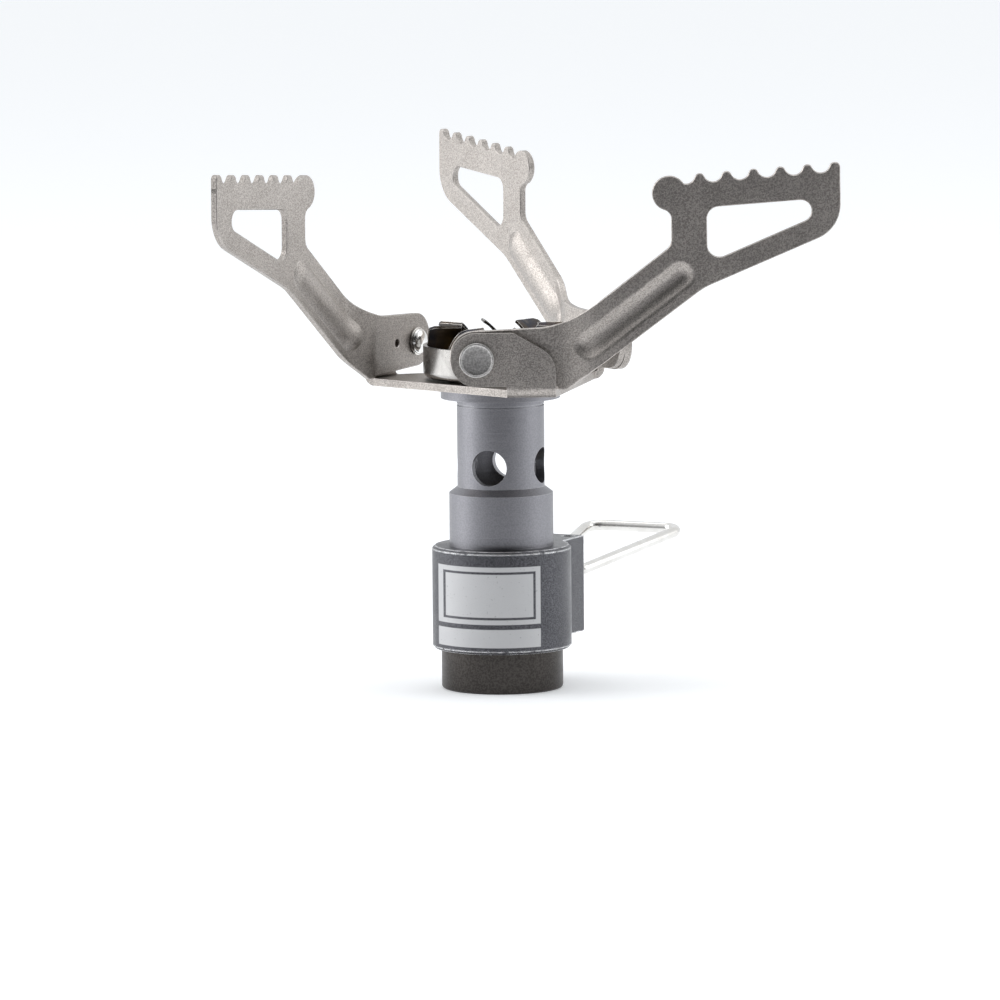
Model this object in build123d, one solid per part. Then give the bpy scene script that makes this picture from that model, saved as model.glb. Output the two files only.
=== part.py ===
"""Small folding gas stove that screws onto a canister.

Frame: +Z up along the gas tube, origin at the centre of the collar's mouth, millimetres.
The front pot support points along +X and stands on the -Y side.
The other two are the same arm turned by a third of a turn each.
"""
from build123d import *
import math
import os

# ---- fits -------------------------------------------------------------
press_gap = 0.02            # radial, parts fixed to each other
running_gap = 0.05          # radial, parts that turn or slide
face_gap = 0.05             # between faces that slide past each other
weld = 0.1                  # shapes joined into one piece overlap by this much

# ---- canister collar --------------------------------------------------
thread_radius = 5.1         # wall left by the inside thread
thread_length = 6.5
collar_radius = 7.6
collar_height = 5.1         # the part below the valve body
relief_radius = 5.7         # groove above the thread, holds the seal
collar_spigot_radius = 6.7
collar_spigot_height = 4.0

# ---- valve body and boss ----------------------------------------------
body_radius = 8.7
body_height = 12.9
body_edge = 0.35            # chamfer on the body's rims
boss_azimuth = 65.0         # degrees from +X towards +Y
boss_half_width = 5.6
boss_reach = 12.8           # axis to the boss's end face
boss_lift = 0.8             # the boss starts this far above the body's bottom
boss_edge = 0.3
spindle_depth = 5.2         # spindle axis below the body's top

# ---- gas way ----------------------------------------------------------
inlet_radius = 1.5
probe_length = 1.15         # shank in the inlet
filter_height = 0.7
channel_radius = 0.55
seat_radius = 0.6
seat_place = 3.2            # from the axis to the needle's seat
chamber_radius = 2.1
channel_floor = 0.3         # the duct ends this far above the jet's seat
gland_radius = 3.3
gland_flange = 1.2
gland_flats = 7.0
spindle_radius = 1.5
spindle_neck = 1.0          # radius between the needle and the land
spindle_land_gap = 0.2      # radial, land to chamber
spindle_edge = 0.2
land_before = 1.2           # the land's ends from the seal's place
land_after = 1.1
needle_half = 0.8           # the needle's cone reaches this far each side of the seat
needle_tip = 0.15
hinge_reach = 17.6          # from the axis to the handle's cross hole
spindle_end = 1.6           # past the cross hole
travel = 1.125              # the spindle moves out this far when opened
travel_spare = 0.075
seal_section = 0.45
seal_place = 6.2
lock_pin_radius = 0.75
lock_pin_wall = 0.1         # metal left between the pin and the gland's bore
lock_pin_setback = 1.9      # from the boss's end face
lock_pin_drop = 0.5         # the pin's top below the body's top
probe_flange = 0.9
probe_head = 1.0
probe_tip_radius = 1.1
probe_tip_lift = 0.2        # above the end of the thread
probe_slot_width = 0.5
probe_slot_height = 0.8

# ---- wire handle ------------------------------------------------------
wire_radius = 0.7
handle_length = 23.5
handle_outer_half = 6.6
handle_inner_half = 2.8
handle_outer_bend = 1.9
handle_inner_bend = 1.1
handle_tilt = 7.0           # degrees above level, as it is left
handle_end_gap = 0.3        # between the wire's two ends, in the cross hole

# ---- gas jet and mixing tube -------------------------------------------
body_nose_radius = 4.4
body_nose_height = 2.5
jet_radius = 1.9
jet_depth = 1.2             # how far the jet's thread goes below the body's top
jet_flats = 5.0
jet_head_height = 2.2
jet_cone_height = 1.0
jet_hole = 0.2
jet_bore = 0.88
lower_tube_radius = 6.5
lower_tube_height = 6.6
shoulder_height = 0.8
tube_radius = 5.45
tube_height = 18.5          # body top to the underside of the flange
tube_line_depth = 0.12      # fine groove under the flange
tube_line_drop = 0.7
tube_line_width = 0.25
throat_radius = 3.6
tube_bore = 4.4
bore_start = 6.3            # above the body's top
flange_radius = 7.45
flange_height = 1.4
neck_radius = 5.1           # thread above the flange
air_hole_radius = 2.25
air_hole_lift = 10.1        # above the body's top
air_hole_turn = -107.0
air_holes = 4

# ---- support bracket ---------------------------------------------------
arms = 3
sheet = 0.95                # bracket sheet
bend_inside = 0.4
arm_sheet = 0.85
pivot_along = -2.9          # rivet's place along the arm's direction
pivot_lift = 3.85           # rivet axis above the bracket plate's top
arm_inner = 13.75           # inner face of the arm at the rivet, from the axis
ear_left = 3.15             # ear's size around the rivet axis
ear_top = 3.3
ear_right = 9.75
ear_bottom = 3.3
ear_shoulder_x = 4.6
ear_shoulder_z = 0.35
ear_shoulder_round = 3.2
bend_left = 3.7             # the ear's foot, from the rivet axis
bend_right = ear_right

# ---- arms ---------------------------------------------------------------
joggle = 1.6                # step outwards past the ear
joggle_start = ear_right + 0.1      # from the rivet axis
joggle_length = 2.0
joggle_ease = 0.35          # the outer face finishes its step this much sooner
heel_start = ear_right + 0.45
arm_rest_turn = -1.9        # degrees, the drawn arm to its stop
tooth_pitch = 3.32
tooth_depth = 1.15
tooth_tip_radius = 0.62
teeth = 6
tooth_line_slope = 6.2
last_tooth = (43.26, 25.57)
knob_centre = (23.15, 21.24)
knob_radius = 2.14
knob_fillet = 1.2
rib_start = (13.9, 2.21)
rib_end = (24.77, 11.13)
rib_half_width = 1.65
rib_depth = 0.7
rib_slope = 0.4
detent_place = (4.8, 0.3)
detent_radius = 0.5
window_corners = [(27.8, 19.62, 1.5), (28.1, 12.75, 1.5), (47.2, 21.68, 1.35)]
strip_reach = 80.0          # further than any arm, for cutting

# ---- rivets --------------------------------------------------------------
rivet_radius = 1.25
rivet_head_radius = 2.17
rivet_head = 0.5
washer_radius = 1.75
washer_height = 0.25
inner_head_radius = 1.6
inner_head = 0.75
inner_head_round = 0.6
rivet_head_edge = 0.15

# ---- burner ----------------------------------------------------------------
spacer_height = 0.3
spacer_radius = 6.6
cup_radius = 9.6
cup_height = 4.0
cup_wall = 0.45
cup_corner = 0.8
nut_radius = 6.9
nut_height = 1.6
nut_notches = 4
nut_notch_width = 1.4
nut_notch_depth = 0.7
spreader_sheet = 0.35
spreader_radius = 5.6
spreader_drop = 0.5         # disc's top below the cup's rim
spreader_legs = 4
leg_width = 1.6
vanes = 8
vane_inner = 4.9
vane_gap = 0.15             # vane ends to the cup's wall
vane_chord = 4.3
vane_tilt = 54.0            # degrees from level
vane_turn = 6.0
vane_sink = 0.45            # the vane's lower edge below the disc's top
vane_corner = 0.5
dome_radius = 1.3
dome_sink = 0.7             # the dome's centre below the disc's top

# ---- worked out -------------------------------------------------------------
body_bottom = collar_height
body_top = body_bottom + body_height
spindle_z = body_top - spindle_depth
spindle_land_radius = chamber_radius - spindle_land_gap
gland_seat = seal_place + land_after + travel + travel_spare
collar_top = body_bottom + collar_spigot_height
flange_bottom = body_top + tube_height
plate_bottom = flange_bottom + flange_height
plate_top = plate_bottom + sheet
pivot_z = plate_top + pivot_lift
ear_inner = arm_inner + arm_sheet + face_gap
ear_outer = ear_inner + sheet
bend_centre_n = ear_inner - bend_inside
bend_centre_z = plate_top + bend_inside
cup_bottom = plate_top + spacer_height
cup_floor = cup_bottom + cup_wall
cup_top = cup_bottom + cup_height
nut_top = cup_floor + nut_height
vane_outer = cup_radius - cup_wall - vane_gap


def drum(radius, low, high, x=0.0, y=0.0):
    """Upright cylinder between two heights."""
    return Pos(x, y, low) * Cylinder(radius, high - low, align=(Align.CENTER, Align.CENTER, Align.MIN))


def along_boss(shape):
    """Lay a shape made along +Z from the origin onto the spindle's axis."""
    return Pos(0, 0, spindle_z) * Rot(0, 0, boss_azimuth) * Rot(0, 90, 0) * shape


def boss_drum(radius, start, end):
    """Cylinder on the spindle's axis between two distances from the stove's axis."""
    return along_boss(drum(radius, start, end))


def hex_prism(flats, low, high):
    """Hexagonal bar between two heights."""
    profile = RegularPolygon(flats / 2, 6, major_radius=False)
    return Pos(0, 0, low) * extrude(profile, high - low)


def rounded_shape(corners):
    """Closed face through corners (x, y, radius), each rounded by its radius."""
    points = [(x, y) for x, y, radius in corners]
    line = FilletPolyline(*points, radius=[radius for x, y, radius in corners], close=True)
    return make_face(line)


def stand_up(shape, turn):
    """Turn a shape drawn in (along, up, outwards) into the stove, at one arm's place."""
    return Rot(0, 0, turn) * Rot(90, 0, 0) * shape


def at_pivot(shape):
    """Move a shape drawn round the rivet axis to the rivet's place."""
    return Pos(pivot_along, pivot_z, 0) * shape


def slab(profile, low, high):
    """Extrude a flat profile between two distances outwards."""
    return Pos(0, 0, low) * extrude(profile, high - low)


# ---- canister side -----------------------------------------------------------
def canister_collar():
    shape = drum(collar_radius, 0, collar_height)
    shape = chamfer(shape.edges().group_by(Axis.Z)[0], body_edge)
    shape += drum(collar_spigot_radius, collar_height, collar_top)
    shape -= drum(thread_radius, -1, thread_length)
    shape -= drum(relief_radius, thread_length, collar_top + 1)
    return shape


def inlet_o_ring():
    section = (collar_top - thread_length) * 0.34
    ring = Torus(relief_radius - section - press_gap, section)
    return Pos(0, 0, collar_top - section) * ring


def valve_probe():
    tip_low = thread_length + probe_tip_lift
    head_low = collar_top - probe_head
    shank_top = collar_top + probe_length
    shape = drum(inlet_radius + probe_flange, head_low, collar_top)
    shape += drum(probe_tip_radius, tip_low, head_low)
    shape += drum(inlet_radius - press_gap, collar_top, shank_top)
    shape -= drum(channel_radius, tip_low - 1, shank_top + 1)
    return shape - Pos(0, 0, tip_low) * Box(2 * inlet_radius, probe_slot_width, probe_slot_height)


def inlet_filter():
    low = collar_top + probe_length
    return drum(inlet_radius - press_gap, low, low + filter_height)


# ---- valve ----------------------------------------------------------------------
def valve_body():
    shape = drum(body_radius, body_bottom, body_top)
    rims = shape.edges().filter_by(GeomType.CIRCLE)
    shape = chamfer(rims, body_edge)
    boss = Box(boss_reach, 2 * boss_half_width, body_height - boss_lift,
               align=(Align.MIN, Align.CENTER, Align.MIN))
    boss = chamfer(boss.edges().group_by(Axis.X)[-1], boss_edge)
    boss = Rot(0, 0, boss_azimuth) * boss
    shape += Pos(0, 0, body_bottom + boss_lift) * boss
    shape += drum(body_nose_radius, body_top, body_top + body_nose_height)
    filter_top = collar_top + probe_length + filter_height
    shape -= drum(collar_spigot_radius + press_gap, body_bottom - 1, collar_top)
    shape -= drum(inlet_radius, collar_top - 1, filter_top)
    shape -= drum(channel_radius, filter_top - 1, spindle_z)
    shape -= boss_drum(seat_radius, 0, seat_place)
    shape -= boss_drum(chamber_radius, seat_place, gland_seat)
    shape -= boss_drum(gland_radius + press_gap, gland_seat, boss_reach + 1)
    jet_floor = body_top - jet_depth
    shape -= drum(jet_radius + press_gap, jet_floor, body_top + body_nose_height + 1)
    riser = seat_place + chamber_radius
    rise = jet_floor + channel_floor - spindle_z
    lean = math.degrees(math.atan2(riser, rise))
    duct = Cylinder(channel_radius, math.hypot(riser, rise), align=(Align.CENTER, Align.CENTER, Align.MIN))
    duct = Pos(riser, 0, spindle_z) * Rot(0, -lean, 0) * duct
    shape -= Rot(0, 0, boss_azimuth) * duct
    return shape - lock_pin_shape(press_gap, 1.0)


def lock_pin_shape(gap, above):
    """Pin beside the gland; gap widens it and above lengthens it for cutting."""
    across = -(gland_radius + lock_pin_radius + 2 * press_gap + lock_pin_wall)
    along = boss_reach - lock_pin_setback
    pin = drum(lock_pin_radius + gap, spindle_z, body_top - lock_pin_drop + above, along, across)
    return Rot(0, 0, boss_azimuth) * pin


def gland_lock_pin():
    return lock_pin_shape(0.0, 0.0)


def gland_nut():
    shape = boss_drum(gland_radius, gland_seat, boss_reach)
    shape += along_boss(hex_prism(gland_flats, boss_reach, boss_reach + gland_flange))
    return shape - boss_drum(spindle_radius + running_gap, gland_seat - 1, boss_reach + 5)


def needle_spindle():
    needle_root = 2 * (seat_radius - running_gap) - needle_tip
    needle = Cone(needle_tip, needle_root, 2 * needle_half, align=(Align.CENTER, Align.CENTER, Align.MIN))
    land_low = seal_place - land_before
    land_high = seal_place + land_after
    shape = along_boss(Pos(0, 0, seat_place - needle_half) * needle)
    shape += boss_drum(spindle_neck, seat_place + needle_half - weld, seal_place)
    shape += boss_drum(spindle_land_radius, land_low, land_high)
    shape -= ring_groove()
    tail = boss_drum(spindle_radius, land_high - weld, hinge_reach + spindle_end)
    shape += chamfer(tail.edges().filter_by(GeomType.CIRCLE), spindle_edge)
    hole = Rot(90, 0, 0) * Cylinder(wire_radius + running_gap, 3 * spindle_radius)
    return shape - Pos(0, 0, spindle_z) * Rot(0, 0, boss_azimuth) * Pos(hinge_reach, 0, 0) * hole


def ring_groove():
    """Groove for the spindle's seal, with room on every side."""
    half = seal_section + running_gap
    floor = chamber_radius - running_gap - 2 * seal_section - running_gap
    outer = drum(spindle_land_radius + 1, seal_place - half, seal_place + half)
    return along_boss(outer - drum(floor, seal_place - half - 1, seal_place + half + 1))


def spindle_o_ring():
    middle = chamber_radius - running_gap - seal_section
    return along_boss(Pos(0, 0, seal_place) * Torus(middle, seal_section))


def wire_handle():
    points = [
        (0, handle_end_gap / 2),
        (0, handle_inner_half),
        (handle_length, handle_outer_half),
        (handle_length, -handle_outer_half),
        (0, -handle_inner_half),
        (0, -handle_end_gap / 2),
    ]
    bends = [handle_inner_bend, handle_outer_bend, handle_outer_bend, handle_inner_bend]
    path = FilletPolyline(*points, radius=bends)
    section = Plane(origin=path @ 0, z_dir=path % 0) * Circle(wire_radius)
    wire = sweep(section, path=path)
    place = Pos(0, 0, spindle_z) * Rot(0, 0, boss_azimuth) * Pos(hinge_reach, 0, 0)
    return place * Rot(0, -handle_tilt, 0) * wire


# ---- jet, tube --------------------------------------------------------------------
def gas_jet():
    nose_top = body_top + body_nose_height
    shape = drum(jet_radius, body_top - jet_depth, nose_top)
    shape += hex_prism(jet_flats, nose_top, nose_top + jet_head_height)
    cone = Cone(jet_flats / 2, jet_flats / 4, jet_cone_height, align=(Align.CENTER, Align.CENTER, Align.MIN))
    shape += Pos(0, 0, nose_top + jet_head_height) * cone
    shape -= drum(jet_bore, body_top - jet_depth - 1, nose_top + jet_head_height)
    return shape - drum(jet_hole, body_top, nose_top + jet_head_height + jet_cone_height + 1)


def mixing_tube():
    lower_top = body_top + lower_tube_height
    shoulder_top = lower_top + shoulder_height
    shape = drum(lower_tube_radius, body_top, lower_top)
    cone = Cone(lower_tube_radius, tube_radius, shoulder_height,
                align=(Align.CENTER, Align.CENTER, Align.MIN))
    shape += Pos(0, 0, lower_top) * cone
    shape += drum(tube_radius, shoulder_top, flange_bottom)
    line_top = flange_bottom - tube_line_drop
    shape -= (drum(tube_radius + 1, line_top - tube_line_width, line_top)
              - drum(tube_radius - tube_line_depth, line_top - 1, line_top + 1))
    shape += drum(flange_radius, flange_bottom, plate_bottom)
    shape += drum(neck_radius, plate_bottom, nut_top)
    shape -= drum(body_nose_radius + press_gap, body_top - 1, body_top + body_nose_height)
    shape -= drum(throat_radius, body_top, body_top + bore_start)
    shape -= drum(tube_bore, body_top + bore_start, nut_top + 1)
    for index in range(air_holes):
        hole = Cylinder(air_hole_radius, 2 * tube_radius, align=(Align.CENTER, Align.CENTER, Align.MIN))
        turn = air_hole_turn + 360 / air_holes * index
        shape -= Pos(0, 0, body_top + air_hole_lift) * Rot(0, 0, turn) * Rot(0, 90, 0) * hole
    return shape


# ---- bracket, rivets ------------------------------------------------------------------
def ear_profile():
    corners = [
        (-ear_left, -ear_bottom, 0.97 * ear_left),
        (ear_right, -ear_bottom, 0.3),
        (ear_right, ear_shoulder_z, ear_shoulder_round),
        (ear_shoulder_x, ear_top, 1.2),
        (-ear_left, ear_top, 0.97 * ear_left),
    ]
    return at_pivot(rounded_shape(corners))


def ear():
    """One upright ear with its bent foot, drawn in (along, up, outwards)."""
    left = pivot_along + bend_left
    width = bend_right - bend_left
    middle = left + width / 2
    shape = slab(ear_profile(), ear_inner, ear_outer)
    leg_height = pivot_z - ear_bottom + weld - bend_centre_z
    leg = Pos(middle, bend_centre_z + leg_height / 2) * Rectangle(width, leg_height)
    shape += slab(leg, ear_inner, ear_outer)
    outside = bend_inside + sheet
    ring = Cylinder(outside, width) - Cylinder(bend_inside, width + 1)
    ring = Pos(middle, bend_centre_z, bend_centre_n) * Rot(0, 90, 0) * ring
    quarter = Box(width, outside, outside, align=(Align.CENTER, Align.MAX, Align.MIN))
    shape += ring & (Pos(middle, bend_centre_z, bend_centre_n) * quarter)
    hole = at_pivot(Circle(rivet_radius + press_gap))
    return shape - slab(hole, ear_inner - 1, ear_outer + 1)


def support_bracket():
    corners = []
    for index in range(arms):
        turn = Rot(0, 0, 360 / arms * index)
        for along in (bend_left, bend_right):
            corner = turn * Pos(pivot_along + along, -bend_centre_n)
            corners.append((corner.position.X, corner.position.Y))
    shape = Pos(0, 0, plate_bottom) * extrude(make_face(Polyline(*corners, close=True)), sheet)
    for index in range(arms):
        shape += stand_up(ear(), 360 / arms * index)
    return shape - drum(neck_radius + press_gap, plate_bottom - 1, plate_top + 1)


def rivet():
    """One rivet, its formed head inside, drawn in (along, up, outwards)."""
    inner_face = arm_inner - face_gap - washer_height
    shape = slab(Circle(rivet_radius), inner_face, ear_outer)
    head = slab(Circle(rivet_head_radius), ear_outer, ear_outer + rivet_head)
    shape += chamfer(head.edges().group_by(Axis.Z)[-1], rivet_head_edge)
    formed = slab(Circle(inner_head_radius), inner_face - inner_head, inner_face)
    shape += fillet(formed.edges().group_by(Axis.Z)[0], inner_head_round)
    return at_pivot(shape)


def washer():
    """One washer under the formed head, drawn in (along, up, outwards)."""
    outer = arm_inner - face_gap
    ring = Circle(washer_radius) - Circle(rivet_radius + press_gap)
    return at_pivot(slab(ring, outer - washer_height, outer))


def ring_of(make_one):
    """The same solid at every arm, as one group."""
    return Compound([stand_up(make_one(), 360 / arms * index) for index in range(arms)])


# ---- arms --------------------------------------------------------------------------------
def tooth_wave():
    """Teeth as tangent arcs, from the valley beside the knob to the last tooth's tip."""
    half = tooth_pitch / 2
    lean = 2 * math.atan2(tooth_depth, half)
    valley_radius = half / math.sin(lean) - tooth_tip_radius
    edges = []
    for index in range(teeth, 0, -1):
        valley = -(index - 0.5) * tooth_pitch
        tip = -(index - 1) * tooth_pitch
        dip = valley_radius * (1 - math.cos(lean)) - tooth_depth
        reach = valley_radius * math.sin(lean)
        first = (valley - reach, dip)
        second = (valley + reach, dip)
        edges.append(ThreePointArc(first, (valley, -tooth_depth), second))
        if index == 1:
            side = tooth_tip_radius * math.sin(lean / 2)
            drop = tooth_tip_radius * (1 - math.cos(lean / 2))
            edges.append(ThreePointArc(second, (tip - side, -drop), (tip, 0)))
        else:
            third = (tip + tooth_pitch / 2 - reach, dip)
            edges.append(ThreePointArc(second, (tip, 0), third))
    place = Pos(*last_tooth) * Rot(0, 0, tooth_line_slope)
    return [place * edge for edge in edges]


def arm_profile():
    """Flat outline of an arm with its window, drawn round the rivet axis."""
    wave = tooth_wave()
    corners = [
        (44.0, 25.6, 0.55),
        (44.35, 17.45, 4.6),
        (27.75, 9.74, 8.0),
        (heel_start + 1.1, -3.45, 0.7),
        (heel_start, -3.45, 0.15),
        (heel_start, -3.15, 0.1),
        (-3.3, -3.15, 3.1),
        (-3.3, 3.25, 3.1),
        (10.9, 4.35, 12.0),
        (23.58, 14.8, 1.6),
        (knob_centre[0] + 0.2, knob_centre[1], 0.5),
    ]
    valley = wave[0] @ 0
    points = [last_tooth, *[(x, y) for x, y, radius in corners], (valley.X, valley.Y)]
    outline = FilletPolyline(*points, radius=[radius for x, y, radius in corners])
    profile = make_face(Wire([*outline.edges(), *[edge for part in wave for edge in part.edges()]]))
    profile += Pos(*knob_centre) * Circle(knob_radius)
    corner = profile.vertices().sort_by_distance((knob_centre[0], knob_centre[1] - knob_radius))[0]
    profile = fillet(corner, knob_fillet)
    profile -= rounded_shape(window_corners)
    profile -= Circle(rivet_radius + running_gap)
    profile -= Pos(*detent_place) * Circle(detent_radius)
    return Rot(0, 0, arm_rest_turn) * profile


def arm_strip():
    """The sheet seen from above: flat at the rivet, stepped outwards past the ear."""
    inner = arm_inner
    outer = arm_inner + arm_sheet
    end = joggle_start + joggle_length
    points = [
        (-strip_reach, inner),
        (joggle_start, inner),
        (end, inner + joggle),
        (strip_reach, inner + joggle),
        (strip_reach, outer + joggle),
        (end - joggle_ease, outer + joggle),
        (joggle_start, outer),
        (-strip_reach, outer),
    ]
    strip = make_face(Polyline(*points, close=True))
    return Pos(0, strip_reach, 0) * Rot(90, 0, 0) * extrude(strip, 2 * strip_reach)


def rib_stadium(half_width):
    """Flat shape of the pressed rib."""
    run = Vector(*rib_end) - Vector(*rib_start)
    angle = math.degrees(math.atan2(run.Y, run.X))
    middle = (Vector(*rib_start) + Vector(*rib_end)) * 0.5
    profile = Pos(middle.X, middle.Y) * Rot(0, 0, angle) * SlotCenterToCenter(run.length, 2 * half_width)
    return Rot(0, 0, arm_rest_turn) * profile


def pot_support():
    """One arm, drawn in (along, up, outwards) round the rivet axis."""
    sheet_block = slab(arm_profile(), arm_inner - 1, arm_inner + joggle + arm_sheet + 1)
    shape = sheet_block & arm_strip()
    inner = arm_inner + joggle
    outer = inner + arm_sheet
    pad = slab(rib_stadium(rib_half_width + rib_slope), inner - rib_depth, inner + weld)
    pad = chamfer(pad.edges().group_by(Axis.Z)[0], rib_slope)
    shape += pad
    shape -= slab(rib_stadium(rib_half_width), outer - rib_depth, outer + 1)
    return at_pivot(shape)


# ---- burner ---------------------------------------------------------------------------------
def burner_spacer():
    return drum(spacer_radius, plate_top, cup_bottom) - drum(neck_radius + press_gap, plate_top - 1, cup_top)


def burner_cup():
    shape = fillet(drum(cup_radius, cup_bottom, cup_top).edges().group_by(Axis.Z)[0], cup_corner)
    inside = drum(cup_radius - cup_wall, cup_floor, cup_top + 1)
    inside = fillet(inside.edges().group_by(Axis.Z)[0], cup_corner - cup_wall)
    return shape - inside - drum(neck_radius + press_gap, cup_bottom - 1, cup_top)


def burner_nut():
    shape = drum(nut_radius, cup_floor, nut_top) - drum(neck_radius + press_gap, cup_floor - 1, nut_top + 1)
    for index in range(nut_notches):
        notch = Pos(nut_radius, 0, nut_top) * Box(2 * nut_notch_depth, nut_notch_width, 2 * nut_notch_depth)
        shape -= Rot(0, 0, 45 + 360 / nut_notches * index) * notch
    return shape


def flame_spreader():
    top = cup_top - spreader_drop
    middle = top - spreader_sheet / 2
    shape = drum(spreader_radius, top - spreader_sheet, top)
    dome = Pos(0, 0, top - dome_sink) * Sphere(dome_radius)
    shape += dome & drum(dome_radius, middle, top + dome_radius)
    leg = Box(spreader_sheet, leg_width, middle - nut_top, align=(Align.MAX, Align.CENTER, Align.MIN))
    for index in range(spreader_legs):
        shape += Rot(0, 0, 360 / spreader_legs * index) * Pos(spreader_radius, 0, nut_top) * leg
    rise = vane_chord * math.sin(math.radians(vane_tilt)) / 2 - vane_sink
    vane = Box(vane_outer - vane_inner, vane_chord, spreader_sheet)
    vane = fillet(vane.edges().filter_by(Axis.Z).group_by(Axis.X)[-1], vane_corner)
    vane = Pos((vane_inner + vane_outer) / 2, 0, top + rise) * Rot(vane_tilt, 0, 0) * vane
    for index in range(vanes):
        shape += Rot(0, 0, vane_turn + 360 / vanes * index) * vane
    return shape


pieces = {
    "canister_collar": canister_collar(),
    "inlet_o_ring": inlet_o_ring(),
    "valve_probe": valve_probe(),
    "inlet_filter": inlet_filter(),
    "valve_body": valve_body(),
    "gland_lock_pin": gland_lock_pin(),
    "gland_nut": gland_nut(),
    "needle_spindle": needle_spindle(),
    "spindle_o_ring": spindle_o_ring(),
    "wire_handle": wire_handle(),
    "gas_jet": gas_jet(),
    "mixing_tube": mixing_tube(),
    "support_bracket": support_bracket(),
    "pivot_rivets": ring_of(rivet),
    "rivet_washers": ring_of(washer),
    "burner_spacer": burner_spacer(),
    "burner_cup": burner_cup(),
    "burner_nut": burner_nut(),
    "flame_spreader": flame_spreader(),
}
arm = pot_support()
for index, name in enumerate(("front", "back", "left")):
    pieces["pot_support_" + name] = stand_up(arm, 360 / arms * index)

os.makedirs("parts", exist_ok=True)
for name, piece in pieces.items():
    export_step(piece, "parts/" + name + ".step")
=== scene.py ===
import math

import bmesh
import bpy
from mathutils import Matrix, Vector
from mathutils.geometry import delaunay_2d_cdt


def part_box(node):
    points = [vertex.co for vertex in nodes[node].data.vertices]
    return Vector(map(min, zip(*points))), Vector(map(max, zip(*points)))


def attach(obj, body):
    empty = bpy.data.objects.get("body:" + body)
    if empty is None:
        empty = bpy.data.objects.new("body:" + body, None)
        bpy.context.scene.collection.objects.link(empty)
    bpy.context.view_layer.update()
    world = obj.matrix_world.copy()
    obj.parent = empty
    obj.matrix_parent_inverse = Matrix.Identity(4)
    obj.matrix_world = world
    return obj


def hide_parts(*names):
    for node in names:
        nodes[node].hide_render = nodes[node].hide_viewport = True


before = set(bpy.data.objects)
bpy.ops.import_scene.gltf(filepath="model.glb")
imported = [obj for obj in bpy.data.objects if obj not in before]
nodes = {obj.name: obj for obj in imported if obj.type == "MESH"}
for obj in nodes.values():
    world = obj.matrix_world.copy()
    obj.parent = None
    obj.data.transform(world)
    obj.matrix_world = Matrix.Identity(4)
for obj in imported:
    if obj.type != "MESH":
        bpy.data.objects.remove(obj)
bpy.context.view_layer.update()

MM = 0.001
BODY = "stove_body"
ARMS = 3

# how CAD copies are cleaned, bevelled and shaded
WELD = 0.002 * MM
FLAT_WITHIN = math.radians(0.6)
EDGE_SEGMENTS = 2
EDGE_ANGLE = math.radians(30)
SMOOTH_WITHIN = math.cos(math.radians(30))
BROKEN_WITHIN = math.cos(math.radians(62))
TURNED_FACING = 0.95
TURNED_SLACK = 0.006 * MM

# sockets of the mix node when it mixes colours
MIX_FACTOR, MIX_A, MIX_B, MIX_RESULT = 0, 6, 7, 2


# ---- node helpers
def new_group(name, inputs, outputs):
    """Empty shader group with float inputs {name: default} and named float or colour outputs."""
    group = bpy.data.node_groups.new(name, "ShaderNodeTree")
    for label, value in inputs.items():
        socket = group.interface.new_socket(label, in_out="INPUT", socket_type="NodeSocketFloat")
        socket.default_value = value
    for label, kind in outputs.items():
        group.interface.new_socket(label, in_out="OUTPUT", socket_type=kind)
    source = group.nodes.new("NodeGroupInput")
    sink = group.nodes.new("NodeGroupOutput")
    return group, source, sink


def feed(tree, socket, value):
    """Put a number in a socket, or link another socket to it."""
    if isinstance(value, (int, float)):
        socket.default_value = value
    else:
        tree.links.new(value, socket)


def math_node(tree, operation, first, second=None, third=None, clamp=False):
    """Math node fed by sockets or numbers; returns its output."""
    node = tree.nodes.new("ShaderNodeMath")
    node.operation = operation
    node.use_clamp = clamp
    for socket, value in zip(node.inputs, (first, second, third)):
        if value is not None:
            feed(tree, socket, value)
    return node.outputs[0]


def smooth_range(tree, value, low, high, new_low=0.0, new_high=1.0):
    """Smooth ramp of a value between two levels."""
    node = tree.nodes.new("ShaderNodeMapRange")
    node.interpolation_type = "SMOOTHSTEP"
    tree.links.new(value, node.inputs["Value"])
    names = ("From Min", "From Max", "To Min", "To Max")
    for label, level in zip(names, (low, high, new_low, new_high)):
        feed(tree, node.inputs[label], level)
    return node.outputs["Result"]


def noise(tree, scale, detail=2.0, roughness=0.5, stretch=(1, 1, 1), turn=(0, 0, 0)):
    """Noise on object coordinates; scale is a number or a socket, per metre."""
    place = tree.nodes.new("ShaderNodeTexCoord")
    mapping = tree.nodes.new("ShaderNodeMapping")
    mapping.inputs["Scale"].default_value = stretch
    mapping.inputs["Rotation"].default_value = turn
    tree.links.new(place.outputs["Object"], mapping.inputs["Vector"])
    node = tree.nodes.new("ShaderNodeTexNoise")
    tree.links.new(mapping.outputs["Vector"], node.inputs["Vector"])
    node.inputs["Detail"].default_value = detail
    node.inputs["Roughness"].default_value = roughness
    feed(tree, node.inputs["Scale"], scale)
    return node.outputs["Fac"]


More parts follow.
